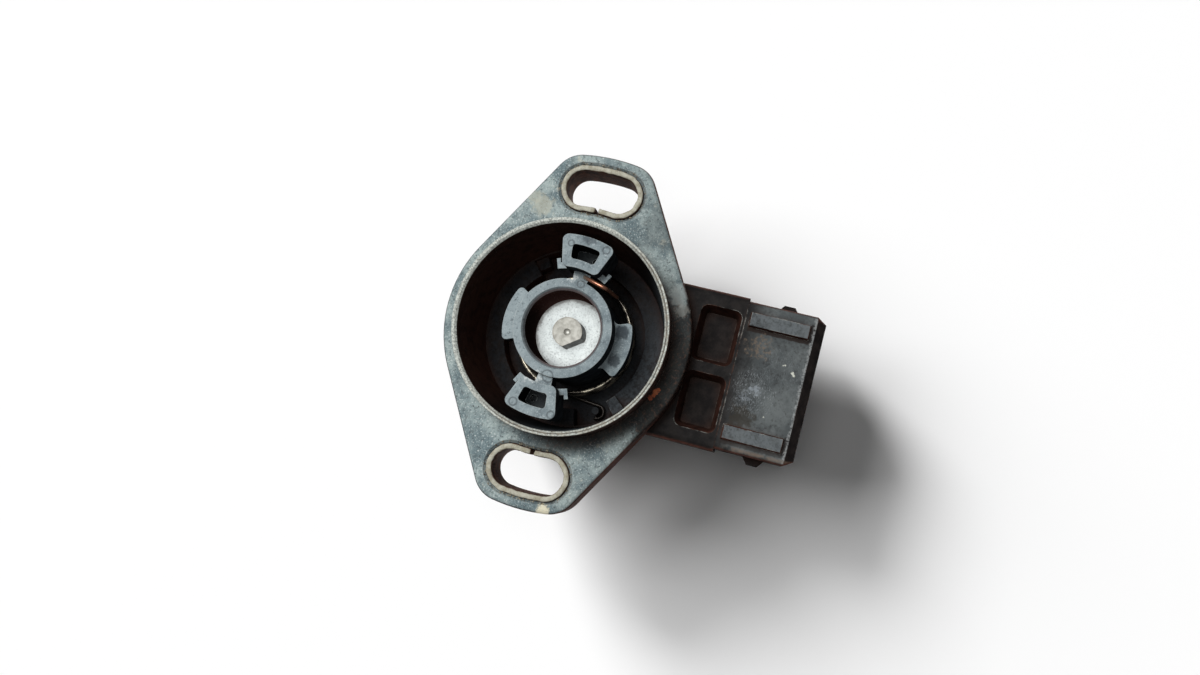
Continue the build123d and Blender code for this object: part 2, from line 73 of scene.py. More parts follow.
# Light on the sensor: a wide key lamp high on the picture's upper left, a soft box overhead and a white card
# that shines in the blasted plate.
# Light on the paper under it: a lower lamp, whose soft shadow falls to the lower right, a smaller one that draws
# the shadow's slanting edge, and a weak fill from above. The room is dim.
KEY_DIRECTION = Vector((-0.3, -0.38, -1.0))
KEY_STRENGTH = 2.9
KEY_SPREAD = 0.6
SKY_HEIGHT = 0.9
SKY_SIZE = 0.8
SKY_POWER = 3.0
CARD_DIRECTION = Vector((0.02, 0.08, -1.0))
CARD_STRENGTH = 1.6
CARD_SPREAD = 0.5
PAPER_DIRECTION = Vector((-0.3, -1.1, -0.78))
PAPER_STRENGTH = 2.85
PAPER_SPREAD = 0.75
EDGE_DIRECTION = Vector((-1.05, -1.4, -1.0))
EDGE_STRENGTH = 2.95
EDGE_SPREAD = 0.35
FILL_DIRECTION = Vector((0.0, 0.0, -1.0))
FILL_STRENGTH = 0.4
FILL_SPREAD = PAPER_SPREAD
ROOM_STRENGTH = 0.06
FLOOR_HALF = 1.5
PAPER_WHITE = (0.9, 0.9, 0.9, 1.0)
PAPER_ROUGHNESS = 0.9

# Places on the housing, in millimetres from the mounting face and the rotor's axis: the spigot's top and the range
# of its lip, the flange's face, the bars on the plug, the dark band at its end, and the side that faces the plug
SPIGOT_TOP = 5.8
LIP_RADII = (16.72, 17.4)
FLANGE_LEVEL = (-3.0, -1.0)
BAR_X = 9.4
PLUG_BAND = -39.2
PLUG_TURN = -118.0

# Slots and the sleeves in them
SLOT_PITCH_R = 24.0
SLEEVE_L = 14.0
SLEEVE_W = 8.0

# Wear of the sleeves' rims: mesh size, rounds of smoothing, broad and fine dents (scale and depth), how much is
# worn off and how far down
WEAR_VOXEL = 0.17
WEAR_ROUNDS = 3
BROAD_DENTS = (0.9, 0.1)
FINE_DENTS = (3.1, 0.05)
WEAR_DEPTH = 0.05
WEAR_REACH = 1.5

# Loose dirt: number of grains and their smallest and largest radius
DIRT_SEED = 7
SLOT_GRAINS = 150
SLOT_GRAIN_R = (0.06, 0.2)
SLOT_SEED = 11
LIP_GRAINS = 160
LIP_GRAIN_R = (0.03, 0.09)
LIP_SEED = 23

# Return spring: the same wire, coil and legs as the solid has, with round wire
WIRE_R = 0.32
WIRE_SIDES = 12
COIL_R = 9.72
COIL_PITCH = 0.8
COIL_TURNS = 6
COIL_STEPS = 400
COIL_FOOT_Z = -11.78
COIL_LEAN = 0.35
COIL_LEAN_ANGLE = -70.0
FOOT_PIN_R = 13.2
FOOT_PIN_ANGLE = 211.0
FOOT_HOOK_R = 1.05
FOOT_HOOK_W = 2.2
FOOT_HOOK_L = 1.2
TIP_ANGLE = -29.5
TIP_LEG_ON = 1.2
TIP_LEG_R = 9.4
TIP_LEG_ANGLE = -33.0
TIP_END_R = 9.0
TIP_END_ANGLE = -8.0
TIP_LEG_Z = 2.62
LEG_BEND_R = 0.9
BEND_STEPS = 8

# Distances, in metres, within which the points of a mesh are merged
WIRE_MERGE = 1e-7
NODE_MERGE = 1e-6

# Shader: samples of the edge and corner looks, and how strongly a relief shows
EDGE_SAMPLES = 6
NOOK_SAMPLES = 8
BUMP_STRENGTH = 0.6


def polar(radius, angle, z=0.0):
    """Point at a radius and an angle in degrees round the rotor's axis."""
    return Vector((radius * cos(radians(angle)), radius * sin(radians(angle)), z))


class Finish:
    """One procedural finish. Its patterns are measured in millimetres on the object."""

    def __init__(self, name):
        self.material = bpy.data.materials.new(name)
        self.material.use_nodes = True
        self.tree = self.material.node_tree
        self.shader = self.tree.nodes["Principled BSDF"]
        where = self.node("ShaderNodeTexCoord").outputs["Object"]
        self.place = self.vector("SCALE", where, scale=1 / MM)
        parts = self.node("ShaderNodeSeparateXYZ")
        self.feed(parts.inputs[0], self.place)
        self.x, self.y, self.z = parts.outputs
        self.geometry = self.node("ShaderNodeNewGeometry")
        turn = self.node("ShaderNodeSeparateXYZ")
        self.feed(turn.inputs[0], self.geometry.outputs["Normal"])
        self.face_up = turn.outputs[2]

    def node(self, kind, **settings):
        """New node of the finish."""
        made = self.tree.nodes.new(kind)
        for key, value in settings.items():
            setattr(made, key, value)
        return made

    def feed(self, socket, value):
        """Link a socket to another, or set it to a plain value."""
        if isinstance(value, bpy.types.NodeSocket):
            self.tree.links.new(value, socket)
        else:
            socket.default_value = value

    def vector(self, operation, first, second=None, scale=None):
        made = self.node("ShaderNodeVectorMath", operation=operation)
        self.feed(made.inputs[0], first)
        if second is not None:
            self.feed(made.inputs[1], second)
        if scale is not None:
            made.inputs["Scale"].default_value = scale
        plain = operation in ("LENGTH", "DOT_PRODUCT", "DISTANCE")
        return made.outputs["Value" if plain else "Vector"]

    def math(self, operation, first, second=0.0):
        made = self.node("ShaderNodeMath", operation=operation)
        self.feed(made.inputs[0], first)
        self.feed(made.inputs[1], second)
        return made.outputs[0]

    def rest(self, share):
        """What is left of 1."""
        return self.math("SUBTRACT", 1.0, share)

    def most(self, *values):
        """Largest of the values."""
        top = values[0]
        for value in values[1:]:
            top = self.math("MAXIMUM", top, value)
        return top

    def fray(self, value, pattern, amount):
        """Value pushed to and fro by a pattern."""
        return self.math("ADD", value, self.times(self.math("SUBTRACT", pattern, 0.5), amount))

    def flat(self):
        """Place in the plan view."""
        return self.vector("MULTIPLY", self.place, (1.0, 1.0, 0.0))

    def from_axis(self):
        """Distance from the rotor's axis."""
        return self.vector("LENGTH", self.flat())

    def away(self, x, y):
        """Distance from a place in the plan view."""
        return self.vector("DISTANCE", self.flat(), (x, y, 0.0))

    def times(self, *values):
        """Product of the values."""
        total = values[0]
        for value in values[1:]:
            total = self.math("MULTIPLY", total, value)
        return total

    def span(self, value, low, high, start=0.0, end=1.0):
        """Smooth step from start at low to end at high."""
        made = self.node("ShaderNodeMapRange", interpolation_type="SMOOTHSTEP")
        for socket, number in zip(made.inputs[:5], (value, low, high, start, end)):
            self.feed(socket, number)
        return made.outputs[0]

    def cloud(self, size, detail=4.0, rough=0.55, stretch=(1.0, 1.0, 1.0), turn=0.0):
        """Soft noise with patches of about this size in millimetres."""
        lay = self.node("ShaderNodeMapping")
        self.feed(lay.inputs["Vector"], self.place)
        lay.inputs["Rotation"].default_value = (0.0, 0.0, radians(turn))
        lay.inputs["Scale"].default_value = stretch
        made = self.node("ShaderNodeTexNoise")
        self.feed(made.inputs["Vector"], lay.outputs[0])
        made.inputs["Scale"].default_value = 1 / size
        made.inputs["Detail"].default_value = detail
        made.inputs["Roughness"].default_value = rough
        return made.outputs["Fac"]

    def grains(self, size):
        """Distance from the nearest of many scattered grains, this far apart in millimetres."""
        made = self.node("ShaderNodeTexVoronoi")
        self.feed(made.inputs["Vector"], self.place)
        made.inputs["Scale"].default_value = 1 / size
        return made.outputs["Distance"]

    def mix(self, factor, under, over):
        """Colour of one layer over another."""
        made = self.node("ShaderNodeMix", data_type="RGBA")
        self.feed(made.inputs[0], factor)
        for socket, value in zip(made.inputs[6:8], (under, over)):
            self.feed(socket, (*value, 1.0) if isinstance(value, tuple) else value)
        return made.outputs[2]

    def spot(self, x, y, size, ragged):
        """Ragged patch centred on a place in the plan view."""
        torn = self.fray(self.away(x, y), self.cloud(size * 0.5), 3 * ragged * size)
        return self.span(torn, 0.55 * size, size, 1.0, 0.0)

    def edges(self, width):
        """1 along sharp edges, 0 on flat faces, with the rounded normal it comes from."""
        made = self.node("ShaderNodeBevel", samples=EDGE_SAMPLES)
        made.inputs["Radius"].default_value = width * MM
        along = self.vector("DOT_PRODUCT", made.outputs[0], self.geometry.outputs["Normal"])
        return self.span(along, 0.997, 0.9), made.outputs[0]

    def nooks(self, reach):
        """1 deep in corners, 0 in the open."""
        made = self.node("ShaderNodeAmbientOcclusion", samples=NOOK_SAMPLES, only_local=True)
        made.inputs["Distance"].default_value = reach * MM
        return self.span(made.outputs["AO"], 0.35, 0.85, 1.0, 0.0)

    def finish(self, colour, rough, height, depth, rounded=None, metal=0.0):
        """Feed the shader, with a relief of this depth in millimetres over the rounded edges."""
        self.feed(self.shader.inputs["Base Color"], colour)
        self.feed(self.shader.inputs["Roughness"], rough)
        self.feed(self.shader.inputs["Metallic"], metal)
        bump = self.node("ShaderNodeBump")
        bump.inputs["Strength"].default_value = BUMP_STRENGTH
        bump.inputs["Distance"].default_value = depth * MM
        self.feed(bump.inputs["Height"], height)
        if rounded is not None:
            self.feed(bump.inputs["Normal"], rounded)
        self.feed(self.shader.inputs["Normal"], bump.outputs[0])
        return self.material


# Colours of the housing's layers
MOULDING_DARK = (0.006, 0.005, 0.005)
MOULDING_FILM = (0.015, 0.012, 0.011)
# Painted warm reflection on the walls outside
WALL_BROWN_REFLECTION = (0.05, 0.02, 0.013)
WALL_RED_REFLECTION = (0.105, 0.036, 0.024)
BORE_GREY = (0.088, 0.106, 0.119)
# Painted warm reflection on the bore's wall away from the plug
BORE_BROWN_REFLECTION = (0.08, 0.034, 0.024)
BORE_GRAIN = (0.2, 0.17, 0.14)
SHELF_PALE = (0.1, 0.117, 0.128)
SHELF_DARK = (0.02, 0.024, 0.029)
SLATE_DARK = (0.15, 0.2, 0.213)
SLATE_PALE = (0.33, 0.395, 0.388)
DUST_BEIGE = (0.47, 0.475, 0.4)
DUST_GRIT = (0.07, 0.085, 0.092)
DUST_SAND = (0.62, 0.67, 0.65)
# Darker dust for a patch of painted shade
DUST_IN_PAINTED_SHADE = (0.09, 0.11, 0.115)
DARK_SPECK = (0.03, 0.026, 0.024)
# Soil colours, also used for the spigot's painted shadow
SOIL_AND_SHADOW_BLACK = (0.011, 0.008, 0.007)
SOIL_AND_SHADOW_BROWN = (0.075, 0.045, 0.034)
PLUG_DUST_DARK = (0.062, 0.07, 0.072)
PLUG_DUST_PALE = (0.115, 0.127, 0.128)
PLUG_GRIT = (0.03, 0.029, 0.028)
PLUG_OIL = (0.03, 0.026, 0.02)
PLUG_BROWN = (0.19, 0.14, 0.1)
# Worn lower edge of the plug, with a painted highlight
PLUG_EDGE_WEAR_AND_HIGHLIGHT = (0.2, 0.15, 0.115)
BAR_DUST = (0.115, 0.128, 0.136)
# Painted shadow beside the bars
BAR_SHADOW = (0.016, 0.011, 0.009)
BAR_END_SHADOW = (0.012, 0.01, 0.009)
SCRATCH = (0.42, 0.45, 0.47)
SMUDGE = (0.3, 0.335, 0.37)
WHITE_SPECK = (0.62, 0.63, 0.55)
BAND_DUST = (0.3, 0.31, 0.31)
LIP_PALE = (0.58, 0.61, 0.56)
LIP_DARK = (0.22, 0.235, 0.22)
LIP_GROOVE = (0.05, 0.042, 0.037)
LIP_BEIGE = (0.27, 0.235, 0.18)
WORN_PALE = (0.42, 0.43, 0.4)
WORN_BROWN = (0.13, 0.06, 0.04)
# Painted shade in corners
CORNER_SHADE = (0.03, 0.015, 0.011)

# White specks on the plug: x, y, size
PLUG_SPECKS = (
    (2.35, -37.25, 0.3),
    (2.05, -37.5, 0.26),
    (3.4, -35.8, 0.15),
    (3.3, -35.5, 0.12),
    (-5.6, -34.4, 0.13),
)

# Chips and rubbed places on the flange: x, y, size, colour, strength
FLANGE_MARKS = (
    (19.5, 9.1, 2.2, (0.44, 0.44, 0.36), 0.6),
    (20.6, 11.0, 1.5, (0.44, 0.44, 0.36), 0.5),
    (9.8, -16.6, 2.0, (0.4, 0.43, 0.41), 0.3),
    (7.6, -17.8, 1.4, (0.36, 0.36, 0.33), 0.3),
    (-29.2, -4.0, 1.3, (0.72, 0.67, 0.5), 0.9),
    (-5.7, -17.3, 0.35, (0.5, 0.15, 0.07), 0.9),
    (-6.1, -16.9, 0.55, (0.52, 0.17, 0.08), 0.95),
    (-6.7, -16.75, 0.42, (0.46, 0.13, 0.06), 0.9),
    (-7.3, -16.3, 0.5, (0.36, 0.1, 0.05), 0.85),
)


class HousingFinish(Finish):
    """Finish of the housing, with the patterns and places that its layers share."""

    def __init__(self, name):
        super().__init__(name)
        self.up = self.span(self.face_up, 0.45, 0.85)
        self.patches = self.cloud(5.5, 5.0, 0.6)
        self.mottle = self.cloud(1.6, 6.0, 0.65)
        self.grit = self.cloud(0.6, 5.0, 0.7)
        self.sand = self.cloud(0.28, 3.0, 0.6)
        self.radius = self.from_axis()
        self.inside = self.times(self.span(self.radius, 16.9, 16.75), self.span(self.z, 5.7, 5.5))
        self.outside = self.rest(self.inside)
        self.on_face = self.span(self.z, *FLANGE_LEVEL)
        self.to_plug = self.vector("DOT_PRODUCT", self.place, polar(1.0, PLUG_TURN))
        self.share = self.math("DIVIDE", self.to_plug, self.radius)


def bare_moulding(f):
    """Black moulding, with a painted warm reflection in brown and red on the walls outside, a grey film on the far
    side of the bore, and a painted warm reflection in brown on the bore's other side.
    """
    bare = f.mix(f.span(f.mottle, 0.35, 0.7), MOULDING_DARK, MOULDING_FILM)
    upright = f.rest(f.up)
    reflecting_wall = f.times(upright, f.outside, f.span(f.mottle, 0.15, 0.75), f.span(f.y, 8.0, -10.0, 0.15, 1.0))
    pocket_width = f.span(f.math("ABSOLUTE", f.x), 10.6, 10.2)
    in_pocket = f.times(f.span(f.y, -17.5, -18.5), f.span(f.y, -28.4, -28.0), pocket_width)
    reflecting_wall = f.times(reflecting_wall, f.span(in_pocket, 0.0, 1.0, 1.0, 0.45))
    # Painted warm reflection: brown and red on the walls outside, most on the plug's side
    bare = f.mix(f.times(reflecting_wall, f.span(f.z, -15.0, -7.0, 0.3, 1.0)), bare, WALL_BROWN_REFLECTION)
    bare = f.mix(f.times(reflecting_wall, f.span(f.z, -9.0, -5.0), f.span(f.y, 0.0, -8.0), 0.8), bare, WALL_RED_REFLECTION)

    far_bore = f.times(f.inside, f.span(f.to_plug, 3.0, 12.0), f.span(f.sand, 0.3, 0.7, 0.35, 1.0))
    bare = f.mix(f.times(far_bore, f.span(f.z, -9.0, 1.0, 0.2, 1.0)), bare, BORE_GREY)
    shelf = f.times(f.inside, f.up)
    far_shelf = f.times(shelf, f.span(f.to_plug, 9.0, 14.0), f.span(f.grit, 0.4, 0.6))
    bare = f.mix(f.times(far_shelf, 0.4), bare, SHELF_PALE)
    bare = f.mix(f.times(shelf, f.span(f.grit, 0.35, 0.65), 0.4), bare, SHELF_DARK)
    near_bore = f.times(f.inside, upright, f.span(f.to_plug, 4.0, -8.0))
    # Painted warm reflection in brown on the bore's wall away from the plug
    bare = f.mix(f.times(near_bore, f.span(f.mottle, 0.3, 0.6, 0.4, 0.9)), bare, BORE_BROWN_REFLECTION)
    grains = f.times(near_bore, f.span(f.sand, 0.6, 0.72), f.span(f.z, -2.0, 5.0))
    return f.mix(f.times(grains, 0.7), bare, BORE_GRAIN)


def flange_dust(f, colour):
    """Thick slate and beige dust on the flange, with dark specks, thinning towards -Y as a painted falloff of the
    light, and a patch of painted shade beside the upper slot. Also returns where it lies.
    """
    slate = f.mix(f.span(f.patches, 0.4, 0.62), SLATE_DARK, SLATE_PALE)
    dust = f.mix(f.span(f.cloud(3.2, 5.0, 0.7), 0.58, 0.72), slate, DUST_BEIGE)
    dust = f.mix(f.times(f.span(f.grit, 0.5, 0.66), 0.7), dust, DUST_GRIT)
    dust = f.mix(f.times(f.span(f.sand, 0.46, 0.3), 0.75), dust, DUST_SAND)
    # Painted shade: a darker patch beside the upper slot, and less dust towards -Y as the light falls off
    dust = f.mix(f.times(f.spot(20.0, -11.0, 4.5, 0.5), 0.45), dust, DUST_IN_PAINTED_SHADE)
    dust_and_shade_fade = f.span(f.y, -24.0, 12.0, 0.72, 1.0)
    on_flange = f.times(f.up, f.on_face, f.outside, dust_and_shade_fade, f.span(f.mottle, 0.22, 0.5, 0.6, 1.0))
    colour = f.mix(on_flange, colour, dust)
    specks = f.times(f.span(f.grains(0.8), 0.18, 0.1), f.span(f.cloud(2.4), 0.42, 0.58))
    return f.mix(f.times(on_flange, specks, 0.8), colour, DARK_SPECK), on_flange


def flange_soil_and_shadow(f, colour):
    """Oily brown dirt over the flange on the plug's side, and round the foot of the spigot there, where it is also
    the spigot's painted shadow.
    """
    from_foot = f.math("ADD", f.radius, f.times(f.grit, 2.4))
    # Dark dirt round the spigot's foot on the plug's side, which is also its painted shadow
    foot = f.times(f.span(from_foot, 22.3, 20.0), f.span(f.share, 0.2, 0.7), 0.85)
    smear = f.fray(f.y, f.mottle, 5.0)
    side = f.span(f.math("ADD", f.x, f.times(f.mottle, 4.0)), 9.5, 5.0)
    shore = f.times(f.span(smear, -13.5, -16.0), side, 0.9)
    brink = f.times(f.span(smear, -17.2, -18.4), f.span(f.x, 13.0, 10.0), 0.85)
    soil_and_shadow = f.times(f.most(foot, shore, brink), f.on_face, f.outside)
    soil_and_shadow_tone = f.mix(f.span(f.grit, 0.5, 0.68), SOIL_AND_SHADOW_BLACK, SOIL_AND_SHADOW_BROWN)
    return f.mix(f.times(soil_and_shadow, f.span(f.z, 5.2, 4.6)), colour, soil_and_shadow_tone)


def bar_dust_and_shadow(f, colour, on_plug):
    """Dust on the plug's two bars, with painted shadow along their lower sides and behind their ends."""
    bars = f.times(on_plug, f.span(f.z, -3.6, -3.2), f.span(f.y, -27.0, -28.0))
    bars = f.times(bars, f.span(f.mottle, 0.3, 0.55, 0.3, 0.8), f.span(f.grit, 0.62, 0.45, 0.35, 1.0))
    colour = f.mix(bars, colour, BAR_DUST)
    # Painted shadow along the bars' lower sides and on the pad behind their ends
    beside = f.times(on_plug, f.span(f.z, -3.5, -3.8))
    along = f.times(beside, f.span(f.y, -28.2, -28.6), f.span(f.y, -38.9, -38.5))
    ragged = f.fray(f.x, f.grit, 0.5)
    for x, strength in ((8.05, 0.9), (-10.8, 0.55)):
        under_bar_shadow = f.times(along, f.span(ragged, x - 0.65, x - 0.45), f.span(f.x, x + 0.25, x + 0.2))
        colour = f.mix(f.times(under_bar_shadow, strength), colour, BAR_SHADOW)
    # Painted shadow on the pad behind the bars' ends
    beyond = f.times(beside, f.span(f.y, -38.35, -38.45))
    for x in (BAR_X, -BAR_X):
        aside = f.math("ABSOLUTE", f.math("SUBTRACT", f.x, x))
        colour = f.mix(f.times(beyond, f.span(aside, 1.7, 1.3), 0.85), colour, BAR_END_SHADOW)
    return colour


def plug_dirt(f, colour):
    """Plug top: thin blue-grey dust that thins out towards the flange as painted shade, brown dirt, pale scratches
    and a few white specks, and a worn lower edge with a painted highlight.
    """
    pad_level = f.times(f.span(f.z, -5.2, -4.4), f.span(f.z, -2.0, -2.6))
    on_plug = f.times(f.up, pad_level, f.span(f.y, PLUG_BAND, PLUG_BAND + 0.15))
    dust = f.mix(f.span(f.patches, 0.4, 0.65), PLUG_DUST_DARK, PLUG_DUST_PALE)
    dust = f.mix(f.times(f.span(f.grit, 0.52, 0.7), 0.6), dust, PLUG_GRIT)
    # Dust thins out towards the flange, as painted shade
    dust_and_shade_fade = f.span(f.y, -27.0, -33.5, 0.05, 1.05)
    colour = f.mix(f.times(on_plug, dust_and_shade_fade, f.span(f.mottle, 0.25, 0.55, 0.5, 1.0)), colour, dust)
    colour = bar_dust_and_shadow(f, colour, on_plug)
    # Worn lower edge with a painted highlight in light brown
    rim_level = f.times(f.span(f.z, -5.6, -5.0), f.span(f.z, -3.4, -3.8))
    worn_lit_edge = f.times(f.up, rim_level, f.span(f.x, -11.3, -11.9), f.span(f.y, -28.5, -31.0))
    colour = f.mix(f.times(worn_lit_edge, f.span(f.mottle, 0.35, 0.6), 0.7), colour, PLUG_EDGE_WEAR_AND_HIGHLIGHT)
    brown = f.times(f.spot(5.2, -30.9, 2.2, 0.9), f.span(f.grit, 0.45, 0.6))
    colour = f.mix(f.times(on_plug, brown, 0.45), colour, PLUG_BROWN)
    colour = f.mix(f.times(on_plug, f.spot(-6.4, -31.1, 2.2, 0.8), 0.7), colour, PLUG_OIL)

    scratches = f.most(f.span(f.cloud(0.55, 2.0, 0.5, (1.0, 9.0, 1.0), 62.0), 0.6, 0.68),
                       f.span(f.cloud(0.5, 2.0, 0.5, (1.0, 10.0, 1.0), -20.0), 0.61, 0.69))
    rubbed = f.most(f.spot(-2.2, -31.5, 4.5, 0.5), f.times(f.spot(2.5, -35.0, 4.5, 0.6), 0.5))
    colour = f.mix(f.times(on_plug, scratches, rubbed, 0.42), colour, SCRATCH)
    smudge = f.most(f.spot(-1.6, -32.0, 1.1, 0.9), f.times(f.spot(-3.0, -30.6, 1.3, 0.9), 0.6))
    colour = f.mix(f.times(on_plug, smudge, f.span(f.grit, 0.4, 0.6), 0.55), colour, SMUDGE)
    for x, y, size in PLUG_SPECKS:
        colour = f.mix(f.times(on_plug, f.spot(x, y, size, 0.8), 0.8), colour, WHITE_SPECK)
    frayed = f.span(f.fray(f.y, f.grit, 1.6), PLUG_BAND + 0.5, PLUG_BAND + 0.15)
    band = f.times(frayed, f.span(f.y, PLUG_BAND - 0.1, PLUG_BAND + 0.05), f.up, f.span(f.z, -4.6, -4.2))
    return f.mix(f.times(band, f.span(f.sand, 0.35, 0.55), 0.6), colour, BAND_DUST)


def lip_crust(f, colour):
    """Gritty lip of the spigot: bright on the far side, in thin rings on the plug's side."""
    lip = f.times(f.span(f.z, 5.0, 5.6), f.span(f.face_up, 0.2, 0.6))
    crust = f.mix(f.span(f.sand, 0.38, 0.68), LIP_PALE, LIP_DARK)
    turned = f.fray(f.radius, f.mottle, 0.25)
    inner_groove = f.times(f.span(turned, 16.92, 17.0), f.span(turned, 17.22, 17.14))
    groove = f.most(inner_groove, f.span(turned, 17.4, 17.5))
    crust = f.mix(f.times(f.span(f.share, -0.3, 0.3), groove, 0.85), crust, LIP_GROOVE)
    crust = f.mix(f.times(f.span(f.share, -0.5, 0.4), f.span(f.grit, 0.4, 0.6), 0.5), crust, LIP_BEIGE)
    return f.mix(f.times(lip, f.span(f.mottle, 0.2, 0.45, 0.6, 1.0)), colour, crust)


def dusty_housing():
    """Black glass-filled moulding under engine-bay dust: pale on the flange and lip, thin on the plug."""
    f = HousingFinish("dusty_housing")
    edge, rounded = f.edges(0.22)
    nook = f.nooks(2.2)
    colour, on_flange = flange_dust(f, bare_moulding(f))
    colour = lip_crust(f, plug_dirt(f, flange_soil_and_shadow(f, colour)))

    # Worn edges, painted shade in the corners, and single chips and rubbed places
    worn = f.times(edge, f.span(f.mottle, 0.42, 0.6), f.span(f.z, -9.0, -3.0, 0.1, 0.7))
    worn_tone = f.mix(f.span(f.patches, 0.46, 0.54), WORN_PALE, WORN_BROWN)
    colour = f.mix(f.times(worn, f.span(f.z, 5.0, 4.5, 0.4, 1.0)), colour, worn_tone)
    # Painted shade deep in the corners
    colour = f.mix(f.times(nook, f.span(f.mottle, 0.3, 0.6, 0.45, 0.9)), colour, CORNER_SHADE)
    for x, y, size, shade, strength in FLANGE_MARKS:
        on_top = f.times(f.spot(x, y, size, 0.6), f.span(f.z, -1.8, -0.9), f.span(f.z, 0.9, 0.4))
        colour = f.mix(f.times(on_top, f.span(f.sand, 0.3, 0.5, 0.5, 1.0), strength), colour, shade)
    rough = f.span(on_flange, 0.0, 1.0, 0.6, 0.92)
    relief = f.math("ADD", f.sand, f.times(f.mottle, 0.8))
    f.shader.inputs["Specular IOR Level"].default_value = 0.05
    return f.finish(colour, rough, relief, 0.06, rounded)


# Colours of the rotor's layers
ROTOR_DARK = (0.03, 0.035, 0.039)
ROTOR_GREY = (0.06, 0.069, 0.076)
ROTOR_DUST_DARK = (0.16, 0.196, 0.212)
ROTOR_DUST_PALE = (0.245, 0.293, 0.308)
ROTOR_DUST_LIT = (0.33, 0.385, 0.4)
ROTOR_GRIT = (0.075, 0.09, 0.098)
ROTOR_SAND = (0.46, 0.51, 0.52)
# Painted shade in the rotor's corners
ROTOR_SHADE = (0.012, 0.011, 0.011)
RING_BROWN = (0.1, 0.048, 0.043)
RING_GRAIN = (0.3, 0.22, 0.18)
# Painted shade on one side of the ring's bore
RING_SHADE = (0.012, 0.009, 0.008)
# Painted shade in the paddles' windows
WINDOW_SHADE = (0.014, 0.014, 0.015)
SPOT_GREY = (0.035, 0.042, 0.05)
EDGE_GRIT = (0.47, 0.51, 0.5)
# Chalky residue with painted glints
CHALK_AND_GLINT = (0.6, 0.64, 0.63)
PIN_MARK = (0.08, 0.092, 0.1)

# Places on the rotor: windows (x, y), darker spots (x, y, size, lowest, highest, strength), chalky residue with
# painted glints, and pin marks
PADDLE_WINDOWS = ((12.4, -0.4), (-12.2, 1.4))
DARKER_SPOTS = (
    (2.0, -9.0, 1.5, -5.0, -1.0, 0.8),
    (-2.8, -8.9, 1.3, -5.0, -1.0, 0.75),
    (15.0, -1.2, 1.6, 4.0, 9.0, 0.5),
)
CHALK_AND_GLINT_SPOTS = ((8.5, 0.7, 1.1), (-8.6, 2.5, 1.4))
PIN_MARKS = (
    (7.6, -1.2, 0.62),
    (-8.1, 0.3, 0.95),
    (13.4, -4.3, 0.6),
    (13.3, 1.5, 0.5),
    (-13.4, 4.0, 0.65),
    (-14.0, -2.4, 0.6),
)


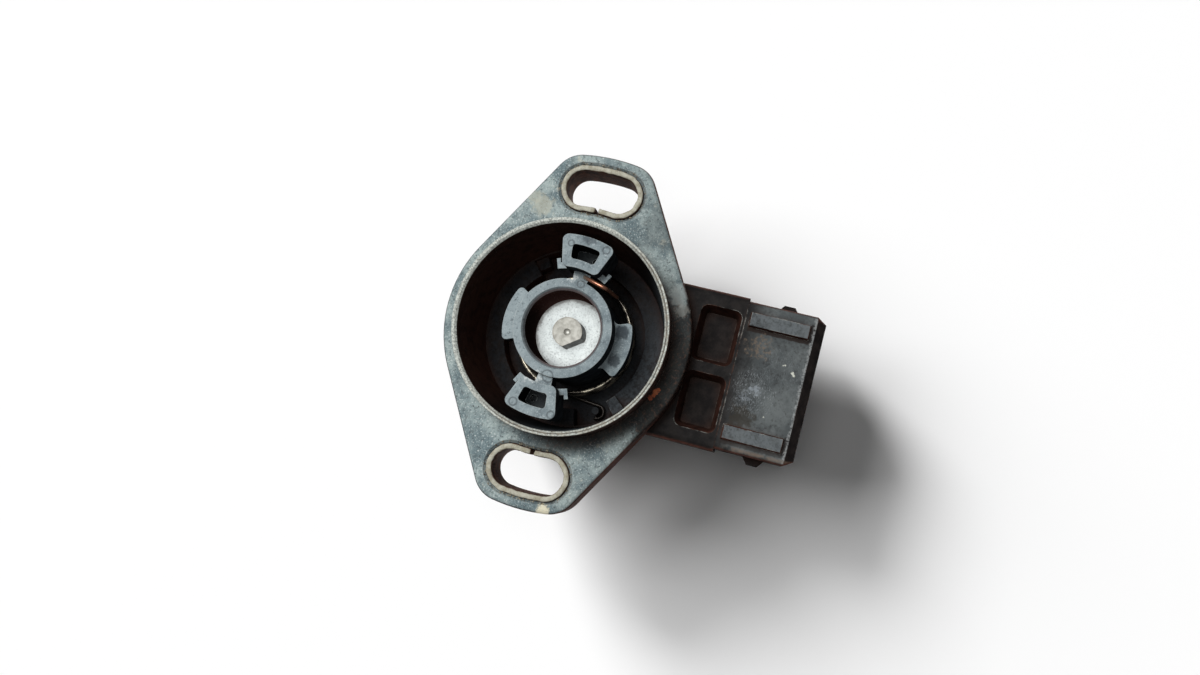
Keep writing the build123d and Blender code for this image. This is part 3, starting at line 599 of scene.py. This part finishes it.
def dusty_rotor():
    """Grey rotor moulding, pale with dust on top, lighter along its edges, brown inside its ring."""
    f = Finish("dusty_rotor")
    up = f.span(f.face_up, 0.5, 0.9)
    edge, rounded = f.edges(0.2)
    nook = f.nooks(2.0)
    mottle = f.cloud(1.4, 5.0, 0.6)
    grit = f.cloud(0.5, 5.0, 0.7)
    sand = f.cloud(0.25, 3.0, 0.6)
    radius = f.from_axis()
    colour = f.mix(f.span(mottle, 0.35, 0.65), ROTOR_DARK, ROTOR_GREY)
    dust = f.mix(f.span(f.cloud(2.8, 5.0, 0.6), 0.4, 0.62), ROTOR_DUST_DARK, ROTOR_DUST_PALE)
    dust = f.mix(f.times(f.span(grit, 0.53, 0.7), 0.6), dust, ROTOR_GRIT)
    dust = f.mix(f.times(f.span(sand, 0.44, 0.3), 0.65), dust, ROTOR_SAND)
    dust = f.mix(f.times(f.span(f.y, -2.0, 7.0), f.span(grit, 0.68, 0.5), 0.55), dust, ROTOR_DUST_LIT)
    tops = f.times(up, f.span(f.z, -4.0, -1.6))
    colour = f.mix(tops, colour, dust)
    # Painted shade deep in the corners of all but the dusty tops
    colour = f.mix(f.times(f.rest(tops), nook, 0.8), colour, ROTOR_SHADE)

    # Brown bore of the ring with painted shade on one side, painted shade in the paddles' windows, and darker spots
    # on an ear and a paddle
    bore = f.times(f.span(radius, 6.6, 6.4), f.span(f.face_up, 0.85, 0.6))
    brown = f.mix(f.span(sand, 0.6, 0.72), RING_BROWN, RING_GRAIN)
    # Painted shade on one side of the ring's bore
    brown = f.mix(f.times(f.span(f.y, 0.5, 4.0), f.span(f.x, 4.5, 1.0), 0.85), brown, RING_SHADE)
    colour = f.mix(bore, colour, brown)
    # Painted shade in the paddles' recessed windows
    for x, y in PADDLE_WINDOWS:
        window_shade = f.times(f.span(f.away(x, y), 3.4, 2.6), f.span(f.z, 5.2, 4.8), f.span(radius, 9.6, 10.0))
        colour = f.mix(f.times(window_shade, 0.85), colour, WINDOW_SHADE)
    for x, y, size, low, high, strength in DARKER_SPOTS:
        darker = f.times(f.spot(x, y, size, 0.4), f.span(f.z, low, low + 0.3), f.span(f.z, high, high - 0.3))
        colour = f.mix(f.times(darker, strength), colour, SPOT_GREY)

    # Gritty edges, and chalky residue with painted glints where the paddles' necks meet the ring
    gritty = f.times(edge, f.span(f.math("ADD", f.times(mottle, 0.5), f.times(sand, 0.5)), 0.42, 0.56))
    colour = f.mix(f.times(gritty, f.span(f.z, -3.0, 0.0), 0.75), colour, EDGE_GRIT)
    for x, y, size in CHALK_AND_GLINT_SPOTS:
        chalk_and_glint = f.times(f.spot(x, y, size, 0.8), f.span(grit, 0.38, 0.54), f.span(f.z, 1.2, 1.6), up)
        colour = f.mix(f.times(chalk_and_glint, 0.75), colour, CHALK_AND_GLINT)
    relief = f.math("ADD", sand, f.times(mottle, 0.6))
    for x, y, size in PIN_MARKS:
        away = f.away(x, y)
        ring = f.times(f.span(away, size - 0.22, size - 0.06), f.span(away, size + 0.16, size + 0.02))
        colour = f.mix(f.times(ring, tops, 0.6), colour, PIN_MARK)
        relief = f.math("SUBTRACT", relief, f.times(ring, 1.5))
    f.shader.inputs["Specular IOR Level"].default_value = 0.0
    return f.finish(colour, f.span(tops, 0.0, 1.0, 0.5, 0.75), relief, 0.06, rounded)


def blasted_plate():
    """Bright blasted steel, a little grimy at its rim, and darker on the rim towards +X and +Y as painted shade."""
    f = Finish("blasted_plate")
    radius = f.from_axis()
    sand = f.cloud(0.26, 3.0, 0.7)
    stain = f.cloud(1.8, 5.0, 0.65)
    colour = f.mix(f.span(stain, 0.35, 0.7), (0.64, 0.68, 0.67), (0.55, 0.59, 0.585))
    colour = f.mix(f.times(f.span(sand, 0.52, 0.68), 0.7), colour, (0.36, 0.38, 0.38))
    colour = f.mix(f.times(f.span(f.grains(1.3), 0.1, 0.06), 0.6), colour, (0.14, 0.14, 0.13))
    rim = f.fray(radius, stain, 1.6)
    # Grime at the rim, darker towards +X and +Y as painted shade
    grime_and_shade = f.times(f.span(rim, 5.5, 6.1), f.span(f.math("ADD", f.x, f.y), -5.0, 5.0, 0.25, 0.7))
    colour = f.mix(grime_and_shade, colour, (0.12, 0.1, 0.09))
    return f.finish(colour, f.span(sand, 0.3, 0.7, 0.5, 0.62), sand, 0.02, metal=0.8)


def stained_shaft():
    """Turned shaft end with a warm stain and a punched centre, dark on its sides."""
    f = Finish("stained_shaft")
    radius = f.from_axis()
    rings = f.math("SINE", f.times(radius, 34.0))
    stain = f.cloud(0.9, 5.0, 0.65)
    colour = f.mix(f.span(stain, 0.35, 0.7), (0.34, 0.335, 0.3), (0.26, 0.255, 0.225))
    colour = f.mix(f.times(f.span(radius, 2.2, 2.5), 0.5), colour, (0.16, 0.14, 0.11))
    colour = f.mix(f.span(f.face_up, 0.7, 0.4), colour, (0.055, 0.05, 0.043))
    colour = f.mix(f.span(radius, 0.35, 0.1), colour, (0.8, 0.8, 0.76))
    relief = f.math("ADD", f.times(rings, 0.25), stain)
    return f.finish(colour, f.span(stain, 0.3, 0.7, 0.45, 0.6), relief, 0.03, metal=0.3)


def oily_wire():
    """Oily spring wire, ivory where it shines and dark where the oil is thick, coppery on the raised leg."""
    f = Finish("oily_wire")
    streak = f.cloud(2.2, 4.0, 0.6)
    oil = f.mix(f.span(streak, 0.4, 0.6), (0.05, 0.043, 0.036), (0.6, 0.55, 0.43))
    leg = f.mix(f.span(f.y, -1.2, -2.6), (0.62, 0.52, 0.42), (0.6, 0.27, 0.17))
    colour = f.mix(f.span(f.z, -6.2, -4.6), oil, leg)
    colour = f.mix(f.span(f.z, -10.9, -11.4), colour, (0.035, 0.03, 0.026))
    return f.finish(colour, f.span(streak, 0.3, 0.7, 0.22, 0.42), streak, 0.02, metal=0.75)


def crusted_sleeve():
    """Zinc-plated sleeve, dull beige on its rim, rusty inside, dark where dirt sits."""
    f = Finish("crusted_sleeve")
    up = f.span(f.face_up, 0.25, 0.75)
    crust = f.cloud(1.1, 6.0, 0.65)
    sand = f.cloud(0.22, 3.0, 0.6)
    rust = f.mix(f.span(crust, 0.38, 0.68), (0.05, 0.018, 0.01), (0.15, 0.055, 0.025))
    rim = f.mix(f.span(crust, 0.4, 0.62), (0.43, 0.42, 0.345), (0.3, 0.28, 0.21))
    rim = f.mix(f.times(f.span(sand, 0.56, 0.72), 0.6), rim, (0.12, 0.1, 0.075))
    rim = f.mix(f.times(f.span(sand, 0.42, 0.3), 0.5), rim, (0.58, 0.57, 0.5))
    colour = f.mix(f.times(up, f.span(f.z, -0.4, 0.05)), rust, rim)
    return f.finish(colour, 0.85, f.math("ADD", sand, crust), 0.08)


def plain_finish(name, dark, pale, rough, metal=0.0, size=1.0):
    """Inner pieces: two tones in soft patches, with fine grain."""
    f = Finish(name)
    patch = f.cloud(size, 5.0, 0.6)
    grain = f.cloud(0.2, 2.0, 0.6)
    colour = f.mix(f.span(patch, 0.35, 0.65), dark, pale)
    colour = f.mix(f.times(f.span(grain, 0.58, 0.75), 0.35), colour, dark)
    return f.finish(colour, f.span(patch, 0.3, 0.7, rough - 0.08, rough + 0.08), grain, 0.02, metal=metal)


def dirt_crumbs():
    """Dry road dirt in loose grains."""
    f = Finish("dirt_crumbs")
    tone = f.cloud(0.7, 4.0, 0.6)
    colour = f.mix(f.span(tone, 0.38, 0.62), (0.045, 0.033, 0.024), (0.33, 0.29, 0.21))
    return f.finish(colour, 0.95, f.cloud(0.15, 2.0, 0.6), 0.05)


def dress(finish, *names):
    """Give CAD nodes their finish."""
    for name in names:
        slots = nodes[name].data.materials
        slots.clear()
        slots.append(finish)


def new_piece(name, bm, finish, body=None, smooth=True):
    """Object from a finished bmesh, with its finish and, if it is rigid, its body."""
    mesh = bpy.data.meshes.new(name)
    bm.to_mesh(mesh)
    bm.free()
    if smooth:
        mesh.shade_smooth()
    mesh.materials.append(finish)
    piece = bpy.data.objects.new(name, mesh)
    scene.collection.objects.link(piece)
    if body:
        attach(piece, body)
    return piece


def edges_of(geom):
    """Edges among the parts of a mesh."""
    return [e for e in geom if isinstance(e, bmesh.types.BMEdge)]


def wire_run(bm, loop, along):
    """Pull a loop of wire straight on and return the new loop."""
    pulled = bmesh.ops.extrude_edge_only(bm, edges=loop)["geom"]
    ends = [v for v in pulled if isinstance(v, bmesh.types.BMVert)]
    bmesh.ops.translate(bm, verts=ends, vec=along)
    far = set(ends)
    return [e for e in edges_of(pulled) if e.verts[0] in far and e.verts[1] in far]


def wire_leg(bm, loop, points, bend_r):
    """Lead a loop of wire from point to point, with a round bend at each corner."""
    at = points[0]
    for before, corner, after in zip(points, points[1:], points[2:]):
        come = (corner - before).normalized()
        go = (after - corner).normalized()
        turn = come.angle(go)
        axis = come.cross(go).normalized()
        begin = corner - come * bend_r * tan(turn / 2)
        loop = wire_run(bm, loop, begin - at)
        centre = begin + axis.cross(come) * bend_r
        swung = bmesh.ops.spin(bm, geom=loop, cent=centre, axis=axis, angle=turn, steps=BEND_STEPS)
        loop = edges_of(swung["geom_last"])
        at = corner + go * bend_r * tan(turn / 2)
    wire_run(bm, loop, points[-1] - at)


def make_return_wire(finish):
    """Close coil of round wire, its foot hooked round the housing's pin and its tip across the rotor's neck."""
    bm = bmesh.new()
    up = Vector((0.0, 0.0, 1.0))
    middle = polar(COIL_LEAN, COIL_LEAN_ANGLE)
    to_pin = polar(FOOT_PIN_R, FOOT_PIN_ANGLE) - middle
    pin_along = sqrt(to_pin.length**2 - (COIL_R + FOOT_HOOK_R) ** 2)
    foot_angle = degrees(atan2(to_pin.y, to_pin.x) - atan2(pin_along, COIL_R + FOOT_HOOK_R))
    sweep = 360 * COIL_TURNS + (foot_angle - TIP_ANGLE) % 360
    rise = COIL_PITCH * sweep / 360
    foot = middle + polar(COIL_R, foot_angle, COIL_FOOT_Z)
    back = polar(1.0, foot_angle + 90)
    out = polar(1.0, foot_angle)
    stand = Matrix.Translation(foot * MM) @ back.to_track_quat("Z", "X").to_matrix().to_4x4()
    bmesh.ops.create_circle(bm, radius=WIRE_R * MM, segments=WIRE_SIDES, matrix=stand)
    first = bm.edges[:]
    coil = bmesh.ops.spin(bm, geom=first, cent=middle * MM, axis=up, dvec=up * rise * MM / COIL_STEPS,
                          angle=-radians(sweep), steps=COIL_STEPS)
    tip_loop = edges_of(coil["geom_last"])

    # Foot leg: straight on from the coil, then hooked outwards round the pin
    bend = foot + back * (pin_along + FOOT_HOOK_R)
    turn = bend + out * FOOT_HOOK_W
    wire_leg(bm, first, [p * MM for p in (foot, bend, turn, turn - back * FOOT_HOOK_L)], FOOT_HOOK_R * MM)

    # Tip leg: on from the coil, up beside the hook and in between the ring and the paddle
    tip = middle + polar(COIL_R, TIP_ANGLE, COIL_FOOT_Z + rise)
    corner = tip + polar(TIP_LEG_ON, TIP_ANGLE - 90)
    top = polar(TIP_LEG_R, TIP_LEG_ANGLE, TIP_LEG_Z)
    end = polar(TIP_END_R, TIP_END_ANGLE, TIP_LEG_Z)
    wire_leg(bm, tip_loop, [p * MM for p in (tip, corner, top, end)], LEG_BEND_R * MM)
    bmesh.ops.remove_doubles(bm, verts=bm.verts, dist=WIRE_MERGE)
    bmesh.ops.holes_fill(bm, edges=bm.edges, sides=WIRE_SIDES)
    bmesh.ops.recalc_face_normals(bm, faces=bm.faces)
    wire = new_piece("return_wire", bm, finish)
    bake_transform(wire)
    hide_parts("return_spring")


def slot_rim(side, share, beyond):
    """Point on the outline of a sleeve, a share of the way round it and a little beyond it."""
    half = (SLEEVE_L - SLEEVE_W) / 2 / SLOT_PITCH_R * 180 / pi
    reach = SLEEVE_W / 2 + beyond
    quarter, part = divmod(share * 4, 1)
    if quarter in (0, 2):
        sign = 1 if quarter == 0 else -1
        return polar(SLOT_PITCH_R + sign * reach, side + sign * half * (2 * part - 1))
    sign = 1 if quarter == 1 else -1
    end = side + sign * half
    return polar(SLOT_PITCH_R, end) + polar(reach, end + 180 * part + (0 if sign > 0 else 180))


def crumbs(name, places, smallest, largest, finish, body, slot, seed):
    """Small irregular grains resting at the given places, as one piece."""
    dice = random.Random(seed)
    bm = bmesh.new()
    for place in places:
        size = dice.uniform(smallest, largest) * MM
        angle = dice.uniform(0, 2 * pi)
        turn = Matrix.Rotation(angle, 4, Vector((dice.random(), dice.random(), dice.random() + 0.1)))
        squeeze = Matrix.Diagonal((1.0, dice.uniform(0.6, 1.0), dice.uniform(0.4, 0.8), 1.0))
        stand = Matrix.Translation(place * MM) @ turn @ squeeze
        made = bmesh.ops.create_icosphere(bm, subdivisions=1, radius=size, matrix=stand)
        for vert in made["verts"]:
            vert.co += (vert.co - place * MM) * dice.uniform(-0.3, 0.25)
    return new_piece(name, bm, finish, body, smooth=False)


def make_dirt(finish):
    """Grit caught round the sleeves and scattered on the lip."""
    dice = random.Random(DIRT_SEED)
    for name, side in (("upper", 0), ("lower", 180)):
        places = []
        for _ in range(SLOT_GRAINS):
            rim = slot_rim(side, dice.random(), dice.uniform(0.1, 0.45))
            places.append(rim + Vector((0.0, 0.0, dice.uniform(-0.35, 0.0))))
        crumbs(f"slot_dirt_{name}", places, *SLOT_GRAIN_R, finish, "base", "housing_plastic", SLOT_SEED + side)
    places = [polar(dice.uniform(*LIP_RADII), dice.uniform(0, 360), SPIGOT_TOP + 0.01) for _ in range(LIP_GRAINS)]
    crumbs("lip_dirt", places, *LIP_GRAIN_R, finish, "base", "housing_plastic", LIP_SEED)


def worn_sleeve(node, finish, seed):
    """Rolled sleeve with its rim worn round and uneven."""
    bm = bmesh.new()
    bm.from_mesh(nodes[node].data)
    bmesh.ops.remove_doubles(bm, verts=bm.verts, dist=NODE_MERGE)
    mesh = bpy.data.meshes.new("rolled")
    bm.to_mesh(mesh)
    bm.free()
    rolled = bpy.data.objects.new("rolled", mesh)
    scene.collection.objects.link(rolled)
    remesh = rolled.modifiers.new("close", "REMESH")
    remesh.mode = "VOXEL"
    remesh.voxel_size = WEAR_VOXEL * MM
    shown = bpy.context.evaluated_depsgraph_get()
    shown.update()
    closed = bpy.data.meshes.new_from_object(rolled.evaluated_get(shown))
    bpy.data.objects.remove(rolled)
    bm = bmesh.new()
    bm.from_mesh(closed)
    for _ in range(WEAR_ROUNDS):
        bmesh.ops.smooth_vert(bm, verts=bm.verts, factor=0.5, use_axis_x=True, use_axis_y=True, use_axis_z=True)
    bm.normal_update()
    for vert in bm.verts:
        place = vert.co / MM + Vector((seed, 0.0, 0.0))
        dent = sum(noise.noise(place * scale) * depth for scale, depth in (BROAD_DENTS, FINE_DENTS))
        near_top = min(max((vert.co.z / MM + WEAR_REACH) / WEAR_REACH, 0.0), 1.0)
        vert.co += vert.normal * (dent - WEAR_DEPTH) * near_top * MM
    sleeve = new_piece(node.replace("slot_", "worn_"), bm, finish, "base")
    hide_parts(node)


def make_camera():
    """Camera where the photograph was taken from."""
    data = bpy.data.cameras.new("camera")
    data.sensor_width = CAMERA_SENSOR
    data.lens = CAMERA_LENS
    data.clip_start = CAMERA_NEAR
    data.clip_end = CAMERA_FAR
    camera = bpy.data.objects.new("camera", data)
    back = -CAMERA_FORWARD.normalized()
    right = CAMERA_UP.cross(back).normalized()
    up = back.cross(right)
    turn = Matrix((right, up, back)).transposed().to_4x4()
    camera.matrix_world = Matrix.Translation(CAMERA_PLACE) @ turn
    scene.collection.objects.link(camera)
    scene.camera = camera


def make_floor():
    """Sheet of white paper under the sensor."""
    bm = bmesh.new()
    lay = Matrix.Translation((0.0, 0.0, cad_box[0].z))
    bmesh.ops.create_grid(bm, x_segments=1, y_segments=1, size=FLOOR_HALF, matrix=lay)
    mesh = bpy.data.meshes.new("floor")
    bm.to_mesh(mesh)
    bm.free()
    paper = bpy.data.materials.new("white_paper")
    paper.use_nodes = True
    shader = paper.node_tree.nodes["Principled BSDF"]
    shader.inputs["Base Color"].default_value = PAPER_WHITE
    shader.inputs["Roughness"].default_value = PAPER_ROUGHNESS
    mesh.materials.append(paper)
    floor = bpy.data.objects.new("floor", mesh)
    scene.collection.objects.link(floor)
    return floor


def make_lamp(name, kind, energy, reach, *things):
    """Lamp that lights these things alone, or everything but them."""
    lamp = bpy.data.objects.new(name, bpy.data.lights.new(name, kind))
    lamp.data.energy = energy
    lamp.rotation_mode = "QUATERNION"
    scene.collection.objects.link(lamp)
    named = bpy.data.collections.new(f"{name}_reach")
    for thing in things:
        named.objects.link(thing)
    for linked in named.collection_objects:
        linked.light_linking.link_state = reach
    lamp.light_linking.receiver_collection = named
    return lamp


def make_sun(name, direction, strength, spread, reach, *things):
    """Far lamp that shines in a direction, with softer shadows the wider it spreads."""
    sun = make_lamp(name, "SUN", strength, reach, *things)
    sun.data.angle = spread
    sun.rotation_quaternion = direction.to_track_quat("-Z", "Y")


def make_light(paper):
    """The blasted plate mirrors the card and the soft box, so the key lamp passes it by."""
    plate = nodes["hub_plate"]
    make_sun("key", KEY_DIRECTION, KEY_STRENGTH, KEY_SPREAD, "EXCLUDE", paper, plate)
    sky = make_lamp("sky", "AREA", SKY_POWER, "EXCLUDE", paper)
    sky.data.shape = "DISK"
    sky.data.size = SKY_SIZE
    sky.location = (0.0, 0.0, SKY_HEIGHT)
    make_sun("card", CARD_DIRECTION, CARD_STRENGTH, CARD_SPREAD, "INCLUDE", plate)
    make_sun("paper_lamp", PAPER_DIRECTION, PAPER_STRENGTH, PAPER_SPREAD, "INCLUDE", paper)
    make_sun("paper_edge", EDGE_DIRECTION, EDGE_STRENGTH, EDGE_SPREAD, "INCLUDE", paper)
    make_sun("paper_fill", FILL_DIRECTION, FILL_STRENGTH, FILL_SPREAD, "INCLUDE", paper)
    room = bpy.data.worlds.new("room")
    room.use_nodes = True
    room.node_tree.nodes["Background"].inputs["Strength"].default_value = ROOM_STRENGTH
    scene.world = room


scene.view_settings.view_transform = "Standard"
make_camera()
make_light(make_floor())

dress(dusty_housing(), "housing")
dress(dusty_rotor(), "rotor")
dress(blasted_plate(), "hub_plate")
dress(stained_shaft(), "rotor_shaft")
dress(plain_finish("bush_bronze", (0.3, 0.2, 0.1), (0.45, 0.32, 0.18), 0.5, 0.8), "shaft_bush")
dress(plain_finish("seal_rubber", (0.012, 0.012, 0.012), (0.03, 0.03, 0.03), 0.7), "shaft_seal", "cover_seal")
dress(plain_finish("washer_steel", (0.4, 0.39, 0.37), (0.6, 0.6, 0.58), 0.4, 0.9), "thrust_washer", "wave_washer",
      "retaining_clip")
dress(plain_finish("carrier_plastic", (0.03, 0.03, 0.032), (0.06, 0.06, 0.064), 0.55), "wiper_carrier")
dress(plain_finish("contact_metal", (0.5, 0.46, 0.38), (0.68, 0.65, 0.57), 0.35, 0.9), "signal_wiper", "idle_wiper",
      "terminal_supply", "terminal_signal", "terminal_idle", "terminal_ground")
dress(plain_finish("board_ceramic", (0.7, 0.69, 0.64), (0.82, 0.81, 0.77), 0.6), "element_board")
dress(plain_finish("cover_plastic", (0.03, 0.028, 0.027), (0.07, 0.068, 0.065), 0.6, 0.0, 3.0), "rear_cover")
make_return_wire(oily_wire())
sleeve_crust = crusted_sleeve()
worn_sleeve("slot_sleeve_upper", sleeve_crust, 3.0)
worn_sleeve("slot_sleeve_lower", sleeve_crust, 17.0)
make_dirt(dirt_crumbs())
